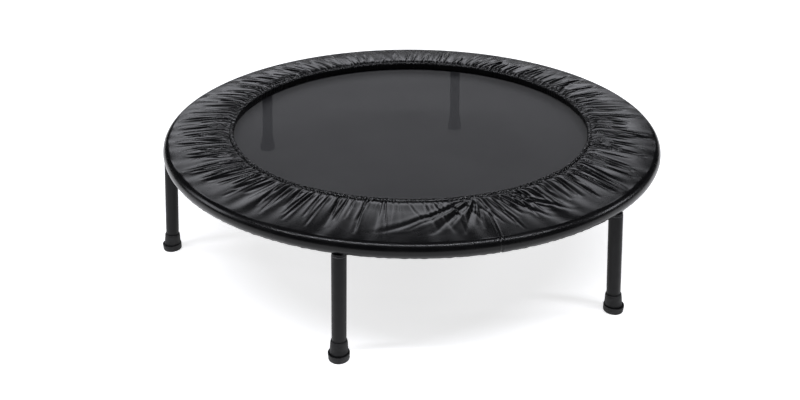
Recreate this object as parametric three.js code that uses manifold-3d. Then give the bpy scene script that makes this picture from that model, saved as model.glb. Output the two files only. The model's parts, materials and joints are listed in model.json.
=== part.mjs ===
// Mini trampoline, in millimetres. Origin on the floor under the centre, +Z up, leg 1 on +X.
import * as THREE from "three";
import { mergeVertices } from "three/addons/utils/BufferGeometryUtils.js";
import Module from "manifold-3d";

const wasm = await Module();
wasm.setup();

// Driving dimensions
const outerRadius = 500;
const topHeight = 229;
const tubeRadius = 12.5;
const tubeWall = 1.5;
const hoopRadius = 485;
const hoopHeight = 207;
const legSplay = THREE.MathUtils.degToRad(6.1);
const legCount = 6;
const springCount = 30;
const matRadius = 385;
const matTop = 210;
const matThickness = 2;
const hookHeight = 209;
const runningGap = 0.3;

const ringSteps = 48;
const tubeSides = 12;
const boltSides = 12;
const springSides = 6;
const legSides = 16;

const painted = { color: 0x222224, roughness: 0.45, metalness: 0.5 };
const zinc = { color: 0xb8bbc0, roughness: 0.35, metalness: 0.9 };
const rubber = { color: 0x17171a, roughness: 0.8, metalness: 0 };
const nylon = { color: 0x1d1d20, roughness: 0.6, metalness: 0 };
const wovenMat = { color: 0x3a3a3e, roughness: 0.9, metalness: 0 };
const webbing = { color: 0x141416, roughness: 0.9, metalness: 0 };
const vinyl = { color: 0x18181a, roughness: 0.4, metalness: 0 };

const part = new THREE.Group();
part.name = "mini_trampoline";

function addPiece(name, geometry, look) {
  const mesh = new THREE.Mesh(geometry, new THREE.MeshStandardMaterial(look));
  mesh.name = name;
  part.add(mesh);
}

function solidOf(geometry) {
  const plain = geometry.index ? geometry.toNonIndexed() : geometry.clone();
  plain.deleteAttribute("normal");
  plain.deleteAttribute("uv");
  const welded = mergeVertices(plain, 1e-3);
  const mesh = new wasm.Mesh({
    numProp: 3,
    vertProperties: welded.attributes.position.array,
    triVerts: new Uint32Array(welded.index.array),
  });
  return new wasm.Manifold(mesh);
}

function geometryOf(solid) {
  const mesh = solid.getMesh();
  const positions = [];
  for (let i = 0; i < mesh.vertProperties.length; i += mesh.numProp) {
    positions.push(mesh.vertProperties[i], mesh.vertProperties[i + 1], mesh.vertProperties[i + 2]);
  }
  const geometry = new THREE.BufferGeometry();
  geometry.setAttribute("position", new THREE.Float32BufferAttribute(positions, 3));
  geometry.setIndex(Array.from(mesh.triVerts));
  geometry.computeVertexNormals();
  return geometry;
}

// A profile of [radius, height] points, turned about the vertical axis
function turned(profile, steps) {
  const points = profile.map(([radius, height]) => new THREE.Vector2(radius, height));
  return new THREE.LatheGeometry(points, steps).rotateX(Math.PI / 2);
}

// A closed profile around a hollow ends where it began
function ring(profile, steps) {
  return turned([...profile, profile[0]], steps);
}

function pipe(innerRadius, outer, low, high, steps) {
  return ring([[innerRadius, low], [outer, low], [outer, high], [innerRadius, high]], steps);
}

function rod(radius, low, high, steps) {
  return turned([[0, low], [radius, low], [radius, high], [0, high]], steps);
}

// A horizontal rod along +X, between two radii of the trampoline
function radialRod(radius, from, to, height, steps) {
  return rod(radius, from, to, steps).rotateY(Math.PI / 2).translate(0, 0, height);
}

function circle(radius, centreRadius, height, sides) {
  const points = [];
  for (let i = 0; i < sides; i += 1) {
    const angle = (i / sides) * Math.PI * 2;
    points.push([centreRadius + radius * Math.cos(angle), height + radius * Math.sin(angle)]);
  }
  return points;
}

const legAngles = Array.from({ length: legCount }, (_, i) => (i / legCount) * Math.PI * 2);
const springAngles = Array.from({ length: springCount }, (_, i) => ((i + 0.5) / springCount) * Math.PI * 2);

// A leg leans outwards about the hoop tube's centre; its heights are those of an upright leg
function placeOnLeg(geometry, angle) {
  geometry.translate(0, 0, -hoopHeight).rotateY(-legSplay);
  return geometry.translate(hoopRadius, 0, hoopHeight).rotateZ(angle);
}

// Hoop tube with a welded boss under it for each leg and a hook hole for each spring
const collarRadius = 12;
const collarBottom = 190;
const collarTop = 193.6;
const neckRadius = 7;
const neckTop = 199;
const boreRadius = 5.3;
const hookHoleRadius = 2.4;

let hoop = solidOf(ring(circle(tubeRadius, hoopRadius, hoopHeight, tubeSides), ringSteps));
for (const angle of legAngles) {
  const collar = placeOnLeg(rod(collarRadius, collarBottom, collarTop, boltSides), angle);
  const neck = placeOnLeg(rod(neckRadius, collarTop - 1, neckTop, boltSides), angle);
  hoop = hoop.add(solidOf(collar)).add(solidOf(neck));
}
hoop = hoop.subtract(solidOf(ring(circle(tubeRadius - tubeWall, hoopRadius, hoopHeight, 8), ringSteps)));
for (const angle of legAngles) {
  const bore = placeOnLeg(rod(boreRadius, collarBottom - 1, hoopHeight, boltSides), angle);
  hoop = hoop.subtract(solidOf(bore));
}
for (const angle of springAngles) {
  const hole = radialRod(hookHoleRadius, hoopRadius - 20, hoopRadius - 2, hookHeight, 4);
  hoop = hoop.subtract(solidOf(hole.rotateZ(angle)));
}
addPiece("frame_ring", geometryOf(hoop), painted);

// Jumping mat and the folded webbing hem around its edge
const matBottom = matTop - matThickness;
const hemInner = 368;
const hemOuter = 390;
const hemBottom = matBottom - 1.5;
const hemTop = matTop + 1.5;

addPiece("jump_mat", rod(matRadius, matBottom, matTop, ringSteps), wovenMat);
addPiece("mat_hem", ring([
  [hemInner, hemBottom],
  [hemOuter, hemBottom],
  [hemOuter, hemTop],
  [hemInner, hemTop],
  [hemInner, matTop + runningGap],
  [matRadius + 1, matTop + runningGap],
  [matRadius + 1, matBottom - runningGap],
  [hemInner, matBottom - runningGap],
], ringSteps), webbing);

// Padded cover, one sheet from its inner lip over the springs and around the hoop tube
const coverGap = 0.5;
const coverThickness = 1.5;
const innerFace = tubeRadius + coverGap;
const outerFace = innerFace + coverThickness;
const skirtEnd = -35;
const turnStart = 90;

function arc(radius, from, to, steps) {
  const points = [];
  for (let i = 0; i <= steps; i += 1) {
    const angle = THREE.MathUtils.degToRad(from + ((to - from) * i) / steps);
    points.push([hoopRadius + radius * Math.cos(angle), hoopHeight + radius * Math.sin(angle)]);
  }
  return points;
}

const sheetUnder = hoopHeight + innerFace;
const sheetOver = hoopHeight + outerFace;
const lipRadius = 359;
const lipTop = topHeight;
const lipBottom = matTop + 3.5;
const coverProfile = [
  [lipRadius + 1.5, lipBottom],
  [lipRadius + 1.5, lipTop - 4],
  [372, lipTop - 3.5],
  [420, sheetUnder + 2],
  ...arc(innerFace, turnStart, skirtEnd, 6),
  ...arc(outerFace, skirtEnd, turnStart, 6),
  [420, sheetOver + 2],
  [372, lipTop - 1.8],
  [lipRadius + 3, lipTop],
  [lipRadius, lipTop - 2.5],
  [lipRadius, lipBottom],
];
addPiece("pad_cover", ring(coverProfile, ringSteps), vinyl);

// Elastic bands gathered into the cover's two edges
const cordRadius = 1.2;
const cordAngle = THREE.MathUtils.degToRad(-45);
const cordOffset = innerFace + cordRadius;
const cordCentre = [hoopRadius + cordOffset * Math.cos(cordAngle), hoopHeight + cordOffset * Math.sin(cordAngle)];
addPiece("inner_elastic", ring(circle(1.5 * cordRadius, lipRadius + 4.6, matTop + 9, 4), ringSteps), webbing);
addPiece("outer_elastic", ring(circle(cordRadius, ...cordCentre, 4), ringSteps), webbing);

// Extension springs from the mat's hem to the hoop
const coilRadius = 5.5;
const hookRadius = 1.2;
const coilStart = 404;
const coilEnd = 462;
const hookStart = 395;
const hookEnd = 477;

springAngles.forEach((angle, i) => {
  const profile = [
    [0, hookStart],
    [hookRadius, hookStart],
    [hookRadius, coilStart - 3],
    [coilRadius, coilStart],
    [coilRadius, coilEnd],
    [hookRadius, coilEnd + 3],
    [hookRadius, hookEnd],
    [0, hookEnd],
  ];
  const spring = turned(profile, springSides).rotateY(Math.PI / 2).translate(0, 0, hookHeight);
  addPiece(`spring_${String(i + 1).padStart(2, "0")}`, spring.rotateZ(angle), zinc);
});

// Screw-in legs: washer, tube, plug with its threaded stud, and rubber foot
const washerTop = collarBottom - runningGap;
const washerBottom = washerTop - 1.7;
const tubeTop = washerBottom - runningGap;
const tubeBottom = 7;
const plugLength = 14.7;
const plugRadius = tubeRadius - tubeWall - runningGap;
const studRadius = 5;
const studTop = 205;
const footTop = 34;
const soleTop = 13.4;
const cupFloor = tubeBottom - runningGap;
const cupRadius = tubeRadius + runningGap;
const footRadius = hoopRadius + hoopHeight * Math.tan(legSplay);

// The level sole and its flange, the sleeve that leans with the leg, and the cup that holds the tube
function foot(angle) {
  const sole = turned([[0, 0], [16, 0], [18, 2.5], [18.4, 11.5], [17.6, 13], [15.8, soleTop], [0, soleTop]], legSides);
  const sleeve = turned([[0, 5], [15.9, 5], [15.9, soleTop], [14, footTop], [0, footTop]], legSides);
  const cup = placeOnLeg(rod(cupRadius, cupFloor, footTop + 1, legSides), angle);
  const outside = solidOf(sole.translate(footRadius, 0, 0).rotateZ(angle));
  return geometryOf(outside.add(solidOf(placeOnLeg(sleeve, angle))).subtract(solidOf(cup)));
}

legAngles.forEach((angle, i) => {
  const leg = `leg_${i + 1}`;
  const washer = pipe(boreRadius, tubeRadius, washerBottom, washerTop, boltSides);
  const tube = pipe(tubeRadius - tubeWall, tubeRadius, tubeBottom, tubeTop, legSides);
  const stud = turned([
    [0, tubeTop - plugLength],
    [plugRadius, tubeTop - plugLength],
    [plugRadius, tubeTop - runningGap],
    [studRadius, tubeTop - runningGap],
    [studRadius, studTop - 1],
    [studRadius - 1, studTop],
    [0, studTop],
  ], boltSides);
  addPiece(`${leg}_washer`, placeOnLeg(washer, angle), nylon);
  addPiece(`${leg}_tube`, placeOnLeg(tube, angle), painted);
  addPiece(`${leg}_stud`, placeOnLeg(stud, angle), zinc);
  addPiece(`${leg}_foot`, foot(angle), rubber);
});

if (outerFace + hoopRadius > outerRadius) {
  throw new Error("the cover is wider than the outside diameter");
}

export default part;
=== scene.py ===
import json
import math

import bpy
import numpy as np
from mathutils import Matrix, Vector


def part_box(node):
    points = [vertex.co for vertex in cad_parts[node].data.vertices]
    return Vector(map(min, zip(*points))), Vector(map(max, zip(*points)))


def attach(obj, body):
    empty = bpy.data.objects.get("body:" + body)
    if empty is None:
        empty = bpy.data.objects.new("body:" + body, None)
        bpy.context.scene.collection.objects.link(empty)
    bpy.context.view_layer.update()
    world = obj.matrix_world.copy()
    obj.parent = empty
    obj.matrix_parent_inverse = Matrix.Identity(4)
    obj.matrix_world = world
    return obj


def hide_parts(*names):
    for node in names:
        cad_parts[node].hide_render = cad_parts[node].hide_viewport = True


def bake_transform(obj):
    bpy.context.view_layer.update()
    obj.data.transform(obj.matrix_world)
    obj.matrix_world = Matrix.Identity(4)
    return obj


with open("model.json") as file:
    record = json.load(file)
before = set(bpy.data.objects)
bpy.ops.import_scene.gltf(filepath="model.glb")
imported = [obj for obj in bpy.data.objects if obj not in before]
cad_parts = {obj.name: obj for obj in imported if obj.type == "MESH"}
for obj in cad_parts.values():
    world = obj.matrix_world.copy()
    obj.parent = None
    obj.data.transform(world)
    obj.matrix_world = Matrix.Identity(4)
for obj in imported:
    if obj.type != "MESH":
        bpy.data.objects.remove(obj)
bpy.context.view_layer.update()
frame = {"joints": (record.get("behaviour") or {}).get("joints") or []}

MM = 0.001
FULL_TURN = 2 * math.pi
random = np.random.default_rng(38)

# Driving dimensions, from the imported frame
joints = {joint["name"]: joint for joint in frame["joints"]}
LEG_NUMBERS = range(1, 7)
leg_pivot = {k: Vector(joints[f"leg_{k}_screw"]["pos_m"]) for k in LEG_NUMBERS}
leg_axis = {k: Vector(joints[f"leg_{k}_screw"]["axis"]).normalized() for k in LEG_NUMBERS}
HOOP_RADIUS = leg_pivot[1].x
HOOP_HEIGHT = leg_pivot[1].z
PIPE_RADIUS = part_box("frame_ring")[1].z - HOOP_HEIGHT
COVER_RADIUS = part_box("pad_cover")[1].y - HOOP_RADIUS
COVER_TOP = HOOP_HEIGHT + COVER_RADIUS
LIP_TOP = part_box("pad_cover")[1].z
MAT_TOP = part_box("jump_mat")[1].z
MAT_MIDDLE = MAT_TOP - 1.0 * MM
MAT_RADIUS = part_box("jump_mat")[1].x
HEM_LOW, HEM_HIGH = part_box("mat_hem")
HEM_INNER = MAT_RADIUS - 17 * MM
SPRING_COUNT = 30
HOOK_HEIGHT = HOOP_HEIGHT + 2 * MM
HOOK_HOLE = HOOP_RADIUS - PIPE_RADIUS
THREAD_RADIUS = 0.35 * MM


# Camera and lights

CAMERA_YAW = math.radians(-15.75)
CAMERA_PITCH = math.radians(27.88)
CAMERA_PLACE = Vector((-0.0232, -1.5834, 0.8755))
SENSOR = 36.0
LENS = 37.09
PANEL_COLOUR = (0.93, 0.94, 1.0)
STUDIO_DIM = (0.012, 0.012, 0.013, 1)
AIM = (0, 0, 0.2)
around = Matrix.Rotation(CAMERA_YAW, 4, "Z")


def add_camera():
    """Looks down at the object from its front."""
    data = bpy.data.cameras.new("camera")
    data.sensor_width = SENSOR
    data.lens = LENS
    camera = bpy.data.objects.new("camera", data)
    bpy.context.collection.objects.link(camera)
    camera.location = around @ CAMERA_PLACE
    camera.rotation_euler = (math.pi / 2 - CAMERA_PITCH, 0, CAMERA_YAW)
    bpy.context.scene.camera = camera


def add_panel(name, place, size, watts, target=AIM):
    """A rectangular area light. Places are as the camera sees them: +X right, +Y away."""
    data = bpy.data.lights.new(name, "AREA")
    data.shape = "RECTANGLE"
    data.size, data.size_y = size
    data.energy = watts
    data.color = PANEL_COLOUR
    light = bpy.data.objects.new(name, data)
    bpy.context.collection.objects.link(light)
    start, end = around @ Vector(place), around @ Vector(target)
    light.location = start
    light.rotation_mode = "QUATERNION"
    light.rotation_quaternion = (end - start).to_track_quat("-Z", "Y")


def add_world():
    """White to the camera, and nearly dark as a light."""
    world = bpy.data.worlds.new("studio")
    bpy.context.scene.world = world
    world.use_nodes = True
    nodes, links = world.node_tree.nodes, world.node_tree.links
    nodes.clear()
    output = nodes.new("ShaderNodeOutputWorld")
    seen = nodes.new("ShaderNodeBackground")
    seen.inputs["Color"].default_value = (1, 1, 1, 1)
    dim = nodes.new("ShaderNodeBackground")
    dim.inputs["Color"].default_value = STUDIO_DIM
    path = nodes.new("ShaderNodeLightPath")
    mix = nodes.new("ShaderNodeMixShader")
    links.new(path.outputs["Is Camera Ray"], mix.inputs[0])
    links.new(dim.outputs[0], mix.inputs[1])
    links.new(seen.outputs[0], mix.inputs[2])
    links.new(mix.outputs[0], output.inputs["Surface"])


# Meshes

RING_STEPS = 240
LEG_STEPS = 64
BOSS_STEPS = 48
CORNER_STEPS = 4


def make_object(name, vertices, faces, material, smooth=True):
    """An object with one mesh and one material."""
    mesh = bpy.data.meshes.new(name)
    mesh.from_pydata(np.asarray(vertices).tolist(), [], [list(face) for face in faces])
    mesh.validate()
    mesh.update()
    mesh.polygons.foreach_set("use_smooth", [smooth] * len(mesh.polygons))
    mesh.materials.append(material)
    made = bpy.data.objects.new(name, mesh)
    bpy.context.collection.objects.link(made)
    return made


def grid_faces(rows, columns):
    """Quads over a grid of rows by columns, with the columns closed into a ring."""
    row, column = np.meshgrid(np.arange(rows - 1), np.arange(columns), indexing="ij")
    next_row, next_column = row + 1, (column + 1) % columns
    corners = [
        row * columns + column,
        row * columns + next_column,
        next_row * columns + next_column,
        next_row * columns + column,
    ]
    return np.stack(corners, -1).reshape(-1, 4)


def lathe(profile, steps, closed=False):
    """Vertices and faces of a profile of (radius, height) points turned about the vertical axis.
    An end on the axis is one point."""
    angles = np.arange(steps) * FULL_TURN / steps
    vertices, faces, previous = [], [], None
    for radius, height in profile:
        if radius == 0:
            row = [len(vertices)]
            vertices.append((0, 0, height))
        else:
            row = list(range(len(vertices), len(vertices) + steps))
            vertices += [(radius * math.cos(a), radius * math.sin(a), height) for a in angles]
        if previous is not None:
            faces += band(previous, row)
        previous = row
    if closed:
        faces += band(previous, list(range(steps)))
    return np.array(vertices), faces


def band(lower, upper):
    """Faces between two rows of a turned shape, either of which may be a single point."""
    count = max(len(lower), len(upper))
    faces = []
    for i in range(count):
        after = (i + 1) % count
        if len(lower) == 1:
            faces.append((lower[0], upper[after], upper[i]))
        elif len(upper) == 1:
            faces.append((lower[i], lower[after], upper[0]))
        else:
            faces.append((lower[i], lower[after], upper[after], upper[i]))
    return faces


def rounded(profile, radius):
    """The profile with each corner between its ends replaced by a short curve."""
    points = [Vector(p) for p in profile]
    result = [tuple(points[0])]
    for before, corner, after in zip(points, points[1:], points[2:]):
        reach = min(radius, (corner - before).length / 2.2, (after - corner).length / 2.2)
        start = corner + (before - corner).normalized() * reach
        end = corner + (after - corner).normalized() * reach
        for i in range(CORNER_STEPS + 1):
            t = i / CORNER_STEPS
            result.append(tuple(start * (1 - t) ** 2 + corner * 2 * t * (1 - t) + end * t ** 2))
    result.append(tuple(points[-1]))
    return result


def sweep(points, radius, sides):
    """A round wire along points, with its ends closed."""
    points = [Vector(p) for p in points]
    vertices, normal = [], None
    for i, point in enumerate(points):
        tangent = (points[min(i + 1, len(points) - 1)] - points[max(i - 1, 0)]).normalized()
        if normal is None:
            normal = tangent.orthogonal().normalized()
        normal = (normal - tangent * normal.dot(tangent)).normalized()
        side = tangent.cross(normal)
        for j in range(sides):
            angle = j * FULL_TURN / sides
            vertices.append(
                point + normal * (radius * math.cos(angle)) + side * (radius * math.sin(angle))
            )
    faces = [tuple(face) for face in grid_faces(len(points), sides)]
    last = (len(points) - 1) * sides
    faces.append(tuple(reversed(range(sides))))
    faces.append(tuple(range(last, last + sides)))
    return np.array([tuple(v) for v in vertices]), faces


def joined(parts):
    """Several pairs of vertices and faces as one."""
    vertices, faces, start = [], [], 0
    for part_vertices, part_faces in parts:
        vertices.append(part_vertices)
        faces += [tuple(index + start for index in face) for face in part_faces]
        start += len(part_vertices)
    return np.concatenate(vertices), faces


def turned_about_z(vertices, angle):
    """The vertices turned about the vertical axis."""
    c, s = math.cos(angle), math.sin(angle)
    return vertices @ np.array([[c, -s, 0], [s, c, 0], [0, 0, 1]]).T


def on_leg(vertices, k):
    """Moves vertices of an upright leg on the axis x = y = 0 to where leg k leans."""
    pivot, up = leg_pivot[k], -leg_axis[k]
    out = Vector((pivot.x, pivot.y, 0)).normalized()
    side = up.cross(out).normalized()
    out = side.cross(up)
    turn = np.array([out, side, up]).T
    return (vertices - np.array([0, 0, HOOP_HEIGHT])) @ turn.T + np.array(pivot)


# Materials

def new_material(name, colour, roughness, metallic=0.0, alpha=1.0):
    """A material and its shader."""
    material = bpy.data.materials.new(name)
    material.use_nodes = True
    shader = material.node_tree.nodes["Principled BSDF"]
    shader.inputs["Base Color"].default_value = (*colour, 1)
    shader.inputs["Roughness"].default_value = roughness
    shader.inputs["Metallic"].default_value = metallic
    shader.inputs["Alpha"].default_value = alpha
    return material, shader


def texture_space(material):
    """Where a point of the surface is, in metres from the origin."""
    nodes = material.node_tree.nodes
    return nodes.new("ShaderNodeTexCoord").outputs["Object"]


def noise(material, scale, detail):
    """Soft random blotches. A higher scale makes them smaller."""
    nodes, links = material.node_tree.nodes, material.node_tree.links
    texture = nodes.new("ShaderNodeTexNoise")
    texture.inputs["Scale"].default_value = scale
    texture.inputs["Detail"].default_value = detail
    links.new(texture_space(material), texture.inputs["Vector"])
    return texture.outputs["Fac"]


def add_bump(material, shader, height, strength, distance):
    """Shades the surface as if it had a height, without moving it."""
    nodes, links = material.node_tree.nodes, material.node_tree.links
    bump = nodes.new("ShaderNodeBump")
    bump.inputs["Strength"].default_value = strength
    bump.inputs["Distance"].default_value = distance
    links.new(height, bump.inputs["Height"])
    links.new(bump.outputs["Normal"], shader.inputs["Normal"])


def vary_colour(material, shader, value, low, high):
    """Spreads a noise value between two base colours."""
    nodes, links = material.node_tree.nodes, material.node_tree.links
    ramp = nodes.new("ShaderNodeValToRGB")
    first, last = ramp.color_ramp.elements
    first.position, first.color = 0.35, (*low, 1)
    last.position, last.color = 0.65, (*high, 1)
    links.new(value, ramp.inputs["Fac"])
    links.new(ramp.outputs["Color"], shader.inputs["Base Color"])


def spread(material, value, from_range, to_range, socket):
    """Maps a value from one range to another on a shader's socket."""
    nodes, links = material.node_tree.nodes, material.node_tree.links
    ranges = nodes.new("ShaderNodeMapRange")
    ranges.inputs["From Min"].default_value, ranges.inputs["From Max"].default_value = from_range
    ranges.inputs["To Min"].default_value, ranges.inputs["To Max"].default_value = to_range
    links.new(value, ranges.inputs["Value"])
    links.new(ranges.outputs["Result"], socket)


def vary_roughness(material, shader, value, low, high):
    """Spreads a noise value between two roughnesses."""
    spread(material, value, (0.3, 0.7), (low, high), shader.inputs["Roughness"])


def wave(material, direction, scale):
    """Even stripes. A higher scale sets them closer together."""
    nodes, links = material.node_tree.nodes, material.node_tree.links
    texture = nodes.new("ShaderNodeTexWave")
    texture.bands_direction = direction
    texture.inputs["Scale"].default_value = scale
    texture.inputs["Distortion"].default_value = 0.0
    links.new(texture_space(material), texture.inputs["Vector"])
    return texture.outputs["Fac"]


def combined(material, first, second, operation):
    """Two values made one by a maths operation."""
    nodes, links = material.node_tree.nodes, material.node_tree.links
    maths = nodes.new("ShaderNodeMath")
    maths.operation = operation
    links.new(first, maths.inputs[0])
    links.new(second, maths.inputs[1])
    return maths.outputs[0]


def vinyl():
    """Black coated PVC: semi-gloss, with a fine pressed grain and soft uneven sheen."""
    material, shader = new_material("cover_pvc", (0.003, 0.003, 0.0033), 0.26)
    vary_roughness(material, shader, noise(material, 14, 4), 0.21, 0.31)
    blotches = noise(material, 30, 3)
    vary_colour(material, shader, blotches, (0.002, 0.002, 0.0023), (0.004, 0.004, 0.0043))
    nodes, links = material.node_tree.nodes, material.node_tree.links
    grain = nodes.new("ShaderNodeTexVoronoi")
    grain.inputs["Scale"].default_value = 900
    links.new(texture_space(material), grain.inputs["Vector"])
    height = combined(material, grain.outputs["Distance"], noise(material, 220, 3), "ADD")
    add_bump(material, shader, height, 0.14, 0.1 * MM)
    shader.inputs["Specular IOR Level"].default_value = 0.22
    return material


def woven_mat():
    """Charcoal woven polypropylene: a close plain weave that lets a little light through."""
    material, shader = new_material("mat_weave", (0.014, 0.014, 0.0155), 0.65, alpha=0.98)
    shader.inputs["Specular IOR Level"].default_value = 0.13
    threads = 210
    warp, weft = wave(material, "X", threads), wave(material, "Y", threads)
    weave = combined(material, warp, weft, "MAXIMUM")
    add_bump(material, shader, weave, 0.35, 0.2 * MM)
    blotches = noise(material, 8, 5)
    vary_colour(material, shader, blotches, (0.012, 0.012, 0.0135), (0.016, 0.016, 0.0175))
    shader.inputs["Sheen Weight"].default_value = 0.03
    return material


def webbing():
    """Black polyester webbing: ribbed, dull."""
    material, shader = new_material("webbing", (0.012, 0.012, 0.013), 0.85)
    ribs = combined(material, wave(material, "DIAGONAL", 260), noise(material, 900, 2), "ADD")
    add_bump(material, shader, ribs, 0.5, 0.25 * MM)
    blotches = noise(material, 90, 4)
    vary_colour(material, shader, blotches, (0.009, 0.009, 0.01), (0.018, 0.018, 0.019))
    return material


def powder_coat():
    """Satin black powder coat: fine orange peel."""
    material, shader = new_material("powder_coat", (0.005, 0.005, 0.0055), 0.4)
    shader.inputs["Specular IOR Level"].default_value = 0.18
    add_bump(material, shader, noise(material, 1100, 3), 0.25, 0.08 * MM)
    vary_roughness(material, shader, noise(material, 60, 4), 0.36, 0.5)
    return material


def foot_rubber():
    """Black moulded rubber: matte, slightly dusty, with a fine texture."""
    material, shader = new_material("foot_rubber", (0.007, 0.007, 0.0075), 0.6)
    shader.inputs["Specular IOR Level"].default_value = 0.35
    add_bump(material, shader, noise(material, 1500, 4), 0.3, 0.1 * MM)
    dust = noise(material, 120, 5)
    vary_colour(material, shader, dust, (0.005, 0.005, 0.0055), (0.011, 0.011, 0.0115))
    vary_roughness(material, shader, noise(material, 45, 4), 0.55, 0.75)
    return material


def zinc(name, roughness):
    """Zinc plate: bright grey with faint cloudy spangle."""
    material, shader = new_material(name, (0.56, 0.57, 0.59), roughness, metallic=1.0)
    vary_roughness(material, shader, noise(material, 300, 4), roughness - 0.08, roughness + 0.12)
    spangle = noise(material, 160, 3)
    vary_colour(material, shader, spangle, (0.48, 0.49, 0.51), (0.64, 0.65, 0.66))
    return material


def nylon():
    """Black nylon: smooth, slightly scuffed."""
    material, shader = new_material("washer_nylon", (0.02, 0.02, 0.022), 0.5)
    add_bump(material, shader, noise(material, 700, 2), 0.2, 0.06 * MM)
    vary_roughness(material, shader, noise(material, 80, 3), 0.42, 0.58)
    return material


def thread_cotton():
    """Dark twisted sewing thread."""
    material, shader = new_material("stitch_thread", (0.03, 0.03, 0.032), 0.7)
    add_bump(material, shader, wave(material, "DIAGONAL", 900), 0.4, 0.1 * MM)
    return material


def paper_floor():
    """White studio paper that glows more away from the object, so that it ends in white."""
    material, shader = new_material("studio_floor", (0.93, 0.93, 0.93), 0.9)
    add_bump(material, shader, noise(material, 40, 2), 0.02, 0.2 * MM)
    shader.inputs["Emission Color"].default_value = (1, 1, 1, 1)
    nodes, links = material.node_tree.nodes, material.node_tree.links
    distance = nodes.new("ShaderNodeVectorMath")
    distance.operation = "LENGTH"
    links.new(texture_space(material), distance.inputs[0])
    glow_distances, glow_strengths = (1.3, 4.5), (0.72, 1.0)
    strength = shader.inputs["Emission Strength"]
    spread(material, distance.outputs["Value"], glow_distances, glow_strengths, strength)
    return material


# The gathered cover

COLUMNS = 2400
HEADER_RADIUS = 359.5 * MM
HEADER_LOW = MAT_TOP + 2.6 * MM
ROLL_RADIUS = 4.6 * MM
ROLL_CENTRE = (HEADER_RADIUS + ROLL_RADIUS, LIP_TOP - 5.2 * MM)
ROLL_ARC = (195, 50)
SHEET_TOP = LIP_TOP - 0.6 * MM
SHEET_START = 371 * MM
RIM_START = math.radians(80)
SHEET_END = HOOP_RADIUS + COVER_RADIUS * math.cos(RIM_START)
SKIRT_END = math.radians(-50)
FAN_CENTRE = math.radians(-89.6)
SEAM_START = math.radians(-88.0)
SEAM_END = math.radians(-89.8)
FRONT = math.radians(-106)  # where the camera looks from, and where the cover is taut
HIGHEST_FOLD = 6.0 * MM
DEEPEST_FOLD = 5.0 * MM

# Rows of the cover's profile, from the header outwards, with one row for the groove after the roll
HEADER_ROWS = 2
ROLL_ROWS = 11
SHEET_ROWS = 62
RIM_ROWS = 26
GROOVE_ROW = HEADER_ROWS + ROLL_ROWS
RIM_ROW = GROOVE_ROW + 1 + SHEET_ROWS


def cover_profile():
    """(radius, height) points of the smooth cover: header, roll, groove, top sheet, rim, skirt."""
    roll_radius, roll_height = ROLL_CENTRE
    points = [
        (HEADER_RADIUS + 2.6 * MM, HEADER_LOW),
        (HEADER_RADIUS + 1.4 * MM, (HEADER_LOW + roll_height) / 2),
    ]
    for angle in np.radians(np.linspace(*ROLL_ARC, ROLL_ROWS)):
        points.append((
            roll_radius + ROLL_RADIUS * math.cos(angle),
            roll_height + ROLL_RADIUS * math.sin(angle),
        ))
    points.append((SHEET_START - 2.0 * MM, roll_height))
    rim_top = HOOP_HEIGHT + COVER_RADIUS * math.sin(RIM_START)
    for radius in np.linspace(SHEET_START, SHEET_END, SHEET_ROWS):
        share = (radius - SHEET_START) / (SHEET_END - SHEET_START)
        drop = (SHEET_TOP - rim_top) * share ** 2.2
        groove = 4.0 * MM * (1 - min(1.0, share * 8)) ** 2
        points.append((radius, SHEET_TOP - drop - groove))
    for angle in np.linspace(RIM_START - math.radians(3), SKIRT_END, RIM_ROWS):
        points.append((
            HOOP_RADIUS + COVER_RADIUS * math.cos(angle),
            HOOP_HEIGHT + COVER_RADIUS * math.sin(angle),
        ))
    return np.array(points)


def wrapped(angle):
    """The angle between minus half a turn and half a turn."""
    return (angle + math.pi) % FULL_TURN - math.pi


def bell(offset, width):
    """A smooth hump: 1 at no offset, and 0.37 at an offset of the width."""
    return np.exp(-(offset / width) ** 2)


def waves_round(angles, counts, weakest):
    """A sum of waves round the cover, one for each number of waves a turn, with random phases and
    with random strengths from the weakest to 1."""
    return sum(
        random.uniform(weakest, 1) * np.sin(n * angles + random.uniform(0, FULL_TURN))
        for n in counts
    )


def add_fold(height, radii, angles, start, end, reach, width, depth, rise=0.08, sharpness=1.0):
    """Adds one fold: a narrow valley with raised shoulders, from angle start at the header to angle
    end at radius reach. It deepens over the share rise of its length, and then fades and widens
    outwards. A higher sharpness gives the valley steeper sides."""
    share = np.clip((radii - SHEET_START) / (reach - SHEET_START), 0, 1.4)
    centre = start + (end - start) * share ** 0.85
    fade = np.clip(1 - share, 0, 1) ** 0.75 * np.clip(share / rise + 0.45, 0, 1)
    lean = math.cos(math.atan2((end - start) * reach, reach - SHEET_START))
    span = 4.5 * width / (SHEET_START * max(lean, 0.2)) + abs(end - start)
    near = np.abs(wrapped(angles - (start + end) / 2)) < span
    across = wrapped(angles[None, near] - centre[:, None]) * radii[:, None] * lean
    wide = width * (0.55 + 0.75 * share)[:, None]
    distance = across / wide
    steepness = 1.35
    valley = -np.exp(-np.abs(distance * steepness) ** (steepness * sharpness))
    shoulder = 0.6 * bell(distance - 1.6, 1.1) + 0.3 * bell(distance + 1.6, 1.1)
    height[:, near] += depth * fade[:, None] * (valley + shoulder)


def slackness(angle):
    """How deep the gathers are at an angle: 1 in most places, and less by the seam, where the cover
    is taut or bunched into the fan."""
    taut = bell(wrapped(angle - FRONT), math.radians(9))
    bunched = bell(wrapped(angle - FAN_CENTRE + math.radians(3)), math.radians(6))
    return 1 - 0.75 * taut - 0.6 * bunched


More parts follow.
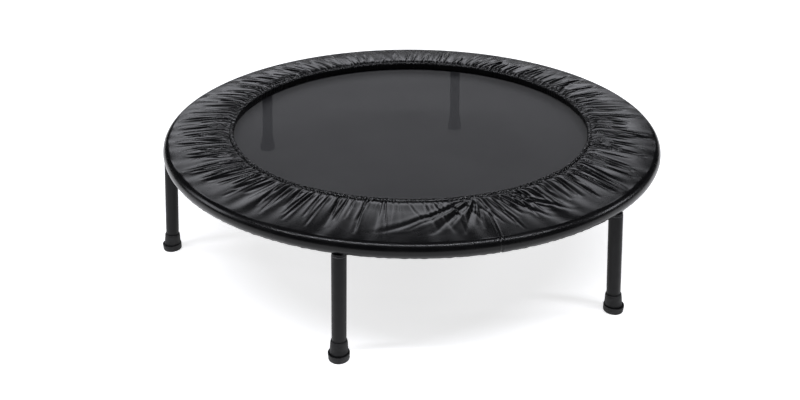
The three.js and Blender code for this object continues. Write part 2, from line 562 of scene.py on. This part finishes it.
def sheet_folds(radii, angles):
    """Height of the folds over the top sheet, for rows of radii by columns of angles."""
    height = np.zeros((len(radii), len(angles)))
    ruffles = 260
    for i in range(ruffles):
        at = (i + random.uniform(-0.4, 0.4)) * FULL_TURN / ruffles
        reach = SHEET_START + random.uniform(10, 36) * MM
        end = at + random.normal(0, 0.01)
        width = random.uniform(1.1, 1.8) * MM
        depth = random.uniform(0.8, 1.7) * MM * slackness(at)
        add_fold(height, radii, angles, at, end, reach, width, depth)
    gathers = 185
    for i in range(gathers):
        at = (i + random.uniform(-0.42, 0.42)) * FULL_TURN / gathers
        drift = 0.035 * math.sin(3 * at + 1) + 0.02 * math.sin(7 * at)
        reach = SHEET_START + random.uniform(55, 112) * MM
        end = at + drift + random.normal(0, 0.016)
        width = random.uniform(2.0, 4.2) * MM
        depth = random.uniform(2.4, 5.6) * MM * slackness(at)
        sharpness = random.uniform(0.8, 1.2)
        add_fold(height, radii, angles, at, end, reach, width, depth, sharpness=sharpness)
    share = np.clip((radii - SHEET_START) / (SHEET_END - SHEET_START), 0, 1)
    billow = waves_round(angles, (31, 46, 67, 83), 0.5)
    height += 0.7 * MM * (np.sin(math.pi * share ** 0.8) ** 0.7)[:, None] * billow[None, :]
    seam_fan(height, radii, angles)
    return height


def seam_fan(height, radii, angles):
    """The bunched folds that spread from the header at the cover's sewn seam."""
    # For each fold, its angles from the fan's centre at the header and at its end, in degrees, and
    # then its length, width and depth, in mm
    left = [
        (-1.0, -23, 96, 5.5, 3.6), (-0.7, -18, 88, 4.0, 2.8), (-0.4, -13, 98, 5.5, 3.8),
        (-0.1, -9.5, 84, 3.5, 2.6), (0.1, -6.5, 102, 5.0, 3.6), (0.3, -4.2, 80, 3.0, 2.2),
        (0.5, -2.2, 92, 3.8, 3.0),
    ]
    right = [
        (1.6, 1.6, 70, 3.2, 2.6), (2.4, 4.6, 95, 3.4, 2.4), (3.8, 8.4, 60, 3.6, 2.4),
        (5.6, 12.5, 98, 5.0, 3.2), (7.0, 15.0, 78, 3.4, 2.2), (9.2, 18.0, 98, 4.6, 2.6),
    ]
    for start, end, length, width, depth in left + right:
        add_fold(
            height, radii, angles, FAN_CENTRE + math.radians(start), FAN_CENTRE + math.radians(end),
            SHEET_START + length * MM, width * MM, depth * MM, rise=0.2, sharpness=1.2,
        )


def seam_angle(radius):
    """Where the seam lies: it slants a little from the header to the rim."""
    share = np.clip((radius - HEADER_RADIUS) / (HOOP_RADIUS - HEADER_RADIUS), 0, 1)
    return SEAM_START + (SEAM_END - SEAM_START) * share


def smooth_step(value):
    """Rises smoothly from 0 to 1 as the value goes from 0 to 1, and is level outside that."""
    value = np.clip(value, 0, 1)
    return value * value * (3 - 2 * value)


def header_ruffle(angles):
    """Depth of the gathers round the elastic header, by angle: irregular pinches."""
    pinches = np.zeros(len(angles))
    count = 300
    for i in range(count):
        at = (i + random.uniform(-0.4, 0.4)) * FULL_TURN / count
        width = random.uniform(1.2, 2.4) * MM / HEADER_RADIUS
        strength = random.uniform(0.5, 1.0) * (0.35 + 0.65 * slackness(at))
        near = np.abs(wrapped(angles - at)) < 4 * width
        pinches[near] += strength * bell(wrapped(angles[near] - at), width)
    return pinches


def header_slip(angles):
    """How far the elastic edge lies outside a true circle, by angle: inwards at the front."""
    front = bell(wrapped(angles - FRONT), 0.8)
    return -7 * MM * front - 2 * MM * np.cos(angles - CAMERA_YAW)


def make_cover(material):
    """The gathered cover: one ring of sheet, from its elastic header to its skirt under the hoop."""
    profile = cover_profile()
    radii, heights = profile[:, 0], profile[:, 1]
    angles = np.arange(COLUMNS) * FULL_TURN / COLUMNS
    rows = len(profile)
    on_sheet = np.zeros(rows, bool)
    on_sheet[GROOVE_ROW:RIM_ROW] = True
    on_rim = radii > HOOP_RADIUS
    lift = np.zeros((rows, COLUMNS))
    lift[on_sheet] = sheet_folds(radii[on_sheet], angles)

    # Folds that cross add up, so they level off towards a limit
    lift = HIGHEST_FOLD * np.tanh(lift / HIGHEST_FOLD)
    lift = np.where(lift < 0, np.maximum(lift, -DEEPEST_FOLD), lift * 0.9)

    # The header roll is pinched between gathers. Its edge wanders a little, and at the front it slips
    # inwards, which lifts it
    pinch = header_ruffle(angles)
    pinched_rows = GROOVE_ROW + 2
    roll = np.zeros(rows)
    roll[:pinched_rows] = np.linspace(0.35, 1, pinched_rows)
    wander = 0.65 * MM * waves_round(angles, (7, 11, 17, 29), 0.3)
    centre_radius, centre_height = ROLL_CENTRE
    squeeze = 0.7 * roll[:, None] * np.clip(pinch, 0, 1.3)[None, :]
    radius_grid = radii[:, None] + (centre_radius - radii[:, None]) * squeeze
    height_grid = heights[:, None] + (centre_height - heights[:, None]) * squeeze * 1.15
    edge_width = 30 * MM
    edge = smooth_step((SHEET_START + edge_width - radii) / edge_width)[:, None]
    slip = header_slip(angles)
    radius_grid = radius_grid + edge * (wander * 0.55 + slip)[None, :]
    height_grid = height_grid + lift - 0.2 * edge * np.minimum(slip, 0)[None, :]

    # The skirt's edge is gathered too, under the tube
    turn = np.arctan2(heights - HOOP_HEIGHT, radii - HOOP_RADIUS)
    under = smooth_step((math.radians(-34) - turn) / math.radians(14)) * on_rim
    gather = waves_round(angles, (96, 131, 170, 223), 0.4)
    swell = 1 + 0.012 * under[:, None] * (gather[None, :] + 2.2)
    radius_grid[on_rim] = HOOP_RADIUS + (radius_grid[on_rim] - HOOP_RADIUS) * swell[on_rim]
    height_grid[on_rim] = HOOP_HEIGHT + (height_grid[on_rim] - HOOP_HEIGHT) * swell[on_rim]

    # A slight slackness over the rim, and the sewn seam's groove between two ridges
    slack = 0.12 * MM * waves_round(angles, (5, 13, 23), 0.3)[None, :]
    across = wrapped(angles[None, :] - seam_angle(radii)[:, None]) * radii[:, None]
    ridges = 0.5 * MM * bell(np.abs(across) - 3 * MM, 1.5 * MM)
    seam = ridges - 1.5 * MM * bell(across, 1.1 * MM)
    seam *= smooth_step((radii - SHEET_START) / (12 * MM))[:, None]
    outwards = np.clip(np.cos(turn), 0, 1) * on_rim * (turn > math.radians(-25))
    upwards = np.where(on_rim, np.sin(turn), 1.0)
    radius_grid += outwards[:, None] * (seam + slack)
    height_grid += upwards[:, None] * (seam + slack * on_sheet[:, None])

    x = radius_grid * np.cos(angles)[None, :]
    y = radius_grid * np.sin(angles)[None, :]
    vertices = np.stack([x, y, height_grid], -1).reshape(-1, 3)
    cover = make_object("pad_cover_vinyl", vertices, grid_faces(rows, COLUMNS), material)
    cover.data.flip_normals()
    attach(cover, "frame")
    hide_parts("pad_cover", "inner_elastic", "outer_elastic")


def make_seam_stitches(material):
    """A row of stitches on each side of the cover's seam. All are at the height of the rim's top,
    so the cover, which rises inwards from there, hides most of them."""
    parts = []
    spacing = 4.5 * MM
    length = spacing * 0.62
    stitch_height = COVER_TOP + 0.5 * MM
    count = 21
    for offset in (-2.2 * MM, 2.4 * MM):
        for i in range(count):
            radius = HOOP_RADIUS - (count - 1 - i) * spacing
            angle = float(seam_angle(np.array(radius))) + offset / radius
            points = []
            for share, lift in ((0, -0.4), (0.5, 0.3), (1, -0.4)):
                along = radius + share * length
                points.append((
                    along * math.cos(angle), along * math.sin(angle), stitch_height + lift * MM,
                ))
            parts.append(sweep(points, THREAD_RADIUS, 6))
    stitches = make_object("cover_seam_stitches", *joined(parts), material)
    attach(stitches, "frame")


# Mat, hem and springs

def make_mat(material):
    """A disc that sags a little in the middle."""
    rings = 40
    rows = [(MAT_RADIUS - 1 * MM) * (i + 1) / rings for i in range(rings)]
    angles = np.arange(RING_STEPS) * FULL_TURN / RING_STEPS
    dip = 0.9 * MM
    vertices = [(0.0, 0.0, MAT_MIDDLE - dip)]
    for radius in rows:
        z = MAT_MIDDLE - dip * (1 - (radius / MAT_RADIUS) ** 2)
        vertices += [(radius * math.cos(a), radius * math.sin(a), z) for a in angles]
    faces = [(0, 1 + i, 1 + (i + 1) % RING_STEPS) for i in range(RING_STEPS)]
    faces += [tuple(face[::-1] + 1) for face in grid_faces(rings, RING_STEPS)]
    mat = make_object("mat_sheet", vertices, faces, material)
    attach(mat, "mat")
    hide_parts("jump_mat")


def make_hem(material):
    """Folded webbing above and below the mat's edge, joined round the outside."""
    outer = HEM_HIGH.x
    edge = outer - 1 * MM
    low, high = HEM_LOW.z, HEM_HIGH.z
    gap = 0.45 * MM
    corners = [
        (HEM_INNER, MAT_MIDDLE + gap), (HEM_INNER, high), (edge, high), (outer, MAT_MIDDLE),
        (edge, low), (HEM_INNER, low), (HEM_INNER, MAT_MIDDLE - gap),
        (MAT_RADIUS, MAT_MIDDLE - gap), (MAT_RADIUS, MAT_MIDDLE + gap),
    ]
    profile = rounded(corners, 0.8 * MM)
    vertices, faces = lathe(profile, RING_STEPS, closed=True)
    hem = make_object("hem_webbing", vertices, faces, material)
    hem.data.flip_normals()
    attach(hem, "mat")
    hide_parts("mat_hem")


def make_hem_stitches(material):
    """Two rows of lockstitch round the hem, on its upper and its lower side."""
    parts = []
    count = 300
    for radius in (HEM_INNER + 3 * MM, HEM_HIGH.x - 4 * MM):
        for z, outward in ((HEM_HIGH.z, 1), (HEM_LOW.z, -1)):
            for i in range(count):
                start = i * FULL_TURN / count
                points = []
                for share, lift in ((0, -0.2), (0.31, 0.25), (0.62, -0.2)):
                    angle = start + share * FULL_TURN / count
                    height = z + outward * lift * MM
                    points.append((radius * math.cos(angle), radius * math.sin(angle), height))
                parts.append(sweep(points, THREAD_RADIUS, 4))
    stitches = make_object("hem_stitches", *joined(parts), material)
    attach(stitches, "mat")


RING_APEX = 396.5 * MM


def round_the_hoop(wire, faces):
    """Copies of a wire that lies along +X, one for each spring."""
    return [
        (turned_about_z(wire, (i + 0.5) * FULL_TURN / SPRING_COUNT), faces)
        for i in range(SPRING_COUNT)
    ]


def make_v_rings(material):
    """Triangular wire rings in the hem, which the springs hook into."""
    wire_radius = 1.1 * MM
    inner = HEM_HIGH.x - 1.5 * MM
    half = 9 * MM
    outline = [
        (inner, -half), (inner + 1.5 * MM, -half * 0.95), (RING_APEX - 1 * MM, -1.2 * MM),
        (RING_APEX, 0),
        (RING_APEX - 1 * MM, 1.2 * MM), (inner + 1.5 * MM, half * 0.95), (inner, half),
    ]
    wire, faces = sweep([(x, y, HOOK_HEIGHT) for x, y in outline], wire_radius, 8)
    rings = make_object("v_rings", *joined(round_the_hoop(wire, faces)), material)
    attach(rings, "mat")


def make_springs(material):
    """Close-wound extension springs with a hook at each end."""
    wire_radius = 0.95 * MM
    hook_radius = 3.2 * MM
    coil_radius = 4.5 * MM
    coil_start, coil_end = 405 * MM, 461 * MM
    turns = 25
    steps = 10
    points = []
    for angle in np.radians(np.linspace(200, -20, 9)):
        points.append((
            RING_APEX + 1.4 * MM - hook_radius * math.cos(angle - math.pi), 0,
            HOOK_HEIGHT - hook_radius * math.sin(angle),
        ))
    for i in range(turns * steps + 1):
        angle = i * FULL_TURN / steps
        x = coil_start + (coil_end - coil_start) * i / (turns * steps)
        points.append((
            x, coil_radius * math.sin(angle), HOOK_HEIGHT + coil_radius * math.cos(angle),
        ))
    points += [
        (coil_end + 2.5 * MM, 0, HOOK_HEIGHT + 1.5 * MM),
        (coil_end + 5 * MM, 0, HOOK_HEIGHT),
        (HOOK_HOLE - 1 * MM, 0, HOOK_HEIGHT),
        (HOOK_HOLE + 3 * MM, 0, HOOK_HEIGHT),
        (HOOK_HOLE + 4.5 * MM, 0, HOOK_HEIGHT - 2 * MM),
    ]
    wire, faces = sweep(points, wire_radius, 6)
    springs = make_object("spring_coils", *joined(round_the_hoop(wire, faces)), material)
    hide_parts(*[f"spring_{i:02d}" for i in range(1, SPRING_COUNT + 1)])
    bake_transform(springs)


# Hoop and legs

CLEARANCE = 0.3 * MM
BORE_RADIUS = 5.3 * MM
NECK_RADIUS = 7.2 * MM
COLLAR_RADIUS = 12 * MM
COLLAR_LOW = HOOP_HEIGHT - 17 * MM
COLLAR_HIGH = HOOP_HEIGHT - 13.4 * MM
WASHER_RADIUS = 12.4 * MM
WASHER_TOP = HOOP_HEIGHT - 17.3 * MM
WASHER_LOW = WASHER_TOP - 1.7 * MM
TUBE_TOP = WASHER_LOW - CLEARANCE
TUBE_LOW = 7 * MM
LEG_TUBE_RADIUS = 12.5 * MM
LEG_TUBE_BORE = LEG_TUBE_RADIUS - 1.5 * MM
PLUG_LENGTH = 14.7 * MM
PLUG_RADIUS = 10.7 * MM
THREAD_PITCH = 1.5 * MM
THREAD_MAJOR = 5.0 * MM
THREAD_MINOR = 4.2 * MM
SLEEVE_BORE = 12.7 * MM
SLEEVE_TOP = 34 * MM
SOLE_TOP = 13.4 * MM
SOLE_MIDDLE = 10 * MM


def make_hoop(material):
    """The hoop's tube, with a welded boss under it for each leg."""
    sides = 40
    profile = [
        (HOOP_RADIUS + PIPE_RADIUS * math.cos(a), HOOP_HEIGHT + PIPE_RADIUS * math.sin(a))
        for a in (i * FULL_TURN / sides for i in range(sides))
    ]
    parts = [lathe(profile, RING_STEPS, closed=True)]
    neck_top = COLLAR_HIGH + 6 * MM
    boss = rounded([
        (BORE_RADIUS, neck_top), (BORE_RADIUS, COLLAR_LOW), (COLLAR_RADIUS, COLLAR_LOW),
        (COLLAR_RADIUS, COLLAR_HIGH), (8 * MM, COLLAR_HIGH + 0.8 * MM), (NECK_RADIUS, neck_top),
    ], 0.6 * MM)
    vertices, faces = lathe(boss, BOSS_STEPS)
    parts += [(on_leg(vertices, k), faces) for k in LEG_NUMBERS]
    hoop = make_object("hoop_tube", *joined(parts), material)
    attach(hoop, "frame")
    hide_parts("frame_ring")


def make_leg(k, coat, plate, plastic, rubber):
    """Leg k: its washer, tube, stud and foot."""
    body = f"leg_{k}"
    washer = rounded([
        (BORE_RADIUS, WASHER_LOW), (WASHER_RADIUS, WASHER_LOW),
        (WASHER_RADIUS, WASHER_TOP), (BORE_RADIUS, WASHER_TOP),
    ], 0.3 * MM)
    leg_piece(
        f"washer_{k}", washer, k, plastic, f"washer_{k}", f"leg_{k}_washer",
        closed=True,
    )
    tube = rounded([
        (LEG_TUBE_BORE, TUBE_LOW), (LEG_TUBE_RADIUS, TUBE_LOW), (LEG_TUBE_RADIUS, TUBE_TOP),
        (LEG_TUBE_BORE, TUBE_TOP), (LEG_TUBE_BORE, TUBE_LOW),
    ], 0.5 * MM)
    leg_piece(f"tube_{k}", tube, k, coat, body, f"leg_{k}_tube")
    make_stud(k, plate)
    make_foot(k, rubber)


def leg_piece(name, profile, k, material, body, node, closed=False):
    """A turned piece of leg k."""
    vertices, faces = lathe(profile, LEG_STEPS, closed=closed)
    piece = make_object(name, on_leg(vertices, k), faces, material)
    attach(piece, body)
    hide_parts(node)


def make_stud(k, material):
    """Plug in the tube's end with an M10 thread standing out of it."""
    top = HOOP_HEIGHT - 2 * MM
    profile = [
        (0, TUBE_TOP - PLUG_LENGTH), (PLUG_RADIUS, TUBE_TOP - PLUG_LENGTH),
        (PLUG_RADIUS, TUBE_TOP - CLEARANCE), (THREAD_MINOR, TUBE_TOP - CLEARANCE),
    ]
    z = TUBE_TOP
    while z < top - THREAD_PITCH:
        profile += [
            (THREAD_MINOR, z + 0.1 * THREAD_PITCH), (THREAD_MAJOR, z + 0.45 * THREAD_PITCH),
            (THREAD_MAJOR, z + 0.6 * THREAD_PITCH), (THREAD_MINOR, z + 0.95 * THREAD_PITCH),
        ]
        z += THREAD_PITCH
    profile += [(THREAD_MINOR, top - 0.5 * MM), (THREAD_MINOR - 0.8 * MM, top), (0, top)]
    leg_piece(f"stud_{k}", profile, k, material, f"leg_{k}", f"leg_{k}_stud")


def make_foot(k, material):
    """Moulded foot: a sleeve that leans with the tube, on a level flange with a rounded sole."""
    pivot, axis = leg_pivot[k], leg_axis[k]
    ground = pivot + axis * (pivot.z / -axis.z)
    flange = rounded([
        (0, 0), (17.0 * MM, 0), (17.9 * MM, 1.0 * MM), (18.1 * MM, 3 * MM), (18.5 * MM, 12.4 * MM),
        (18.2 * MM, 13.2 * MM), (17.4 * MM, 13.2 * MM), (16.8 * MM, SOLE_MIDDLE),
        (15.4 * MM, SOLE_MIDDLE), (0, SOLE_MIDDLE),
    ], 0.5 * MM)
    flange_vertices, flange_faces = lathe(flange, LEG_STEPS)
    flange_vertices = flange_vertices + np.array([ground.x, ground.y, 0])
    sleeve = rounded([
        (SLEEVE_BORE, SLEEVE_TOP - 6 * MM), (SLEEVE_BORE, SLEEVE_TOP), (13.9 * MM, SLEEVE_TOP),
        (14.3 * MM, SLEEVE_TOP - 2 * MM), (14.3 * MM, SLEEVE_TOP - 3 * MM),
        (14.6 * MM, SLEEVE_TOP - 3.4 * MM), (15.3 * MM, 20 * MM), (15.8 * MM, SOLE_TOP),
        (15.8 * MM, 8 * MM),
    ], 0.4 * MM)
    sleeve_vertices, sleeve_faces = lathe(sleeve, LEG_STEPS)
    parts = [(flange_vertices, flange_faces), (on_leg(sleeve_vertices, k), sleeve_faces)]
    foot = make_object(f"foot_{k}", *joined(parts), material)
    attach(foot, f"leg_{k}")
    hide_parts(f"leg_{k}_foot")


# Studio

FLOOR_HALF = 12.0


def make_floor(material):
    """A wide floor to stand on, which isn't part of the object."""
    corners = [(x * FLOOR_HALF, y * FLOOR_HALF, 0) for x, y in ((-1, -1), (1, -1), (1, 1), (-1, 1))]
    floor = make_object("floor", corners, [(0, 1, 2, 3)], material, smooth=False)


add_camera()
add_world()
bpy.context.scene.view_settings.view_transform = "Standard"
add_panel("back_panel", place=(-0.05, 3.4, 1.95), size=(3.9, 1.7), watts=50)
add_panel("top_strip", place=(0, -0.75, 2.3), size=(4.0, 0.07), watts=58, target=(0, -0.2, 0.2))
add_panel("left_panel", place=(-3.2, 0.2, 1.6), size=(1.2, 1.0), watts=20)
add_panel("right_panel", place=(3.2, 0.2, 1.6), size=(0.6, 0.5), watts=14)
add_panel("front_fill", place=(0.3, -4.0, 1.4), size=(3.0, 1.4), watts=1)
make_floor(paper_floor())

pvc = vinyl()
cotton = thread_cotton()
web = webbing()
coat = powder_coat()
rubber = foot_rubber()
plastic = nylon()
bright_zinc = zinc("spring_zinc", 0.3)
stud_zinc = zinc("stud_zinc", 0.36)

make_cover(pvc)
make_seam_stitches(cotton)
make_mat(woven_mat())
make_hem(web)
make_hem_stitches(cotton)
make_v_rings(bright_zinc)
make_springs(bright_zinc)
make_hoop(coat)
for k in LEG_NUMBERS:
    make_leg(k, coat, stud_zinc, plastic, rubber)
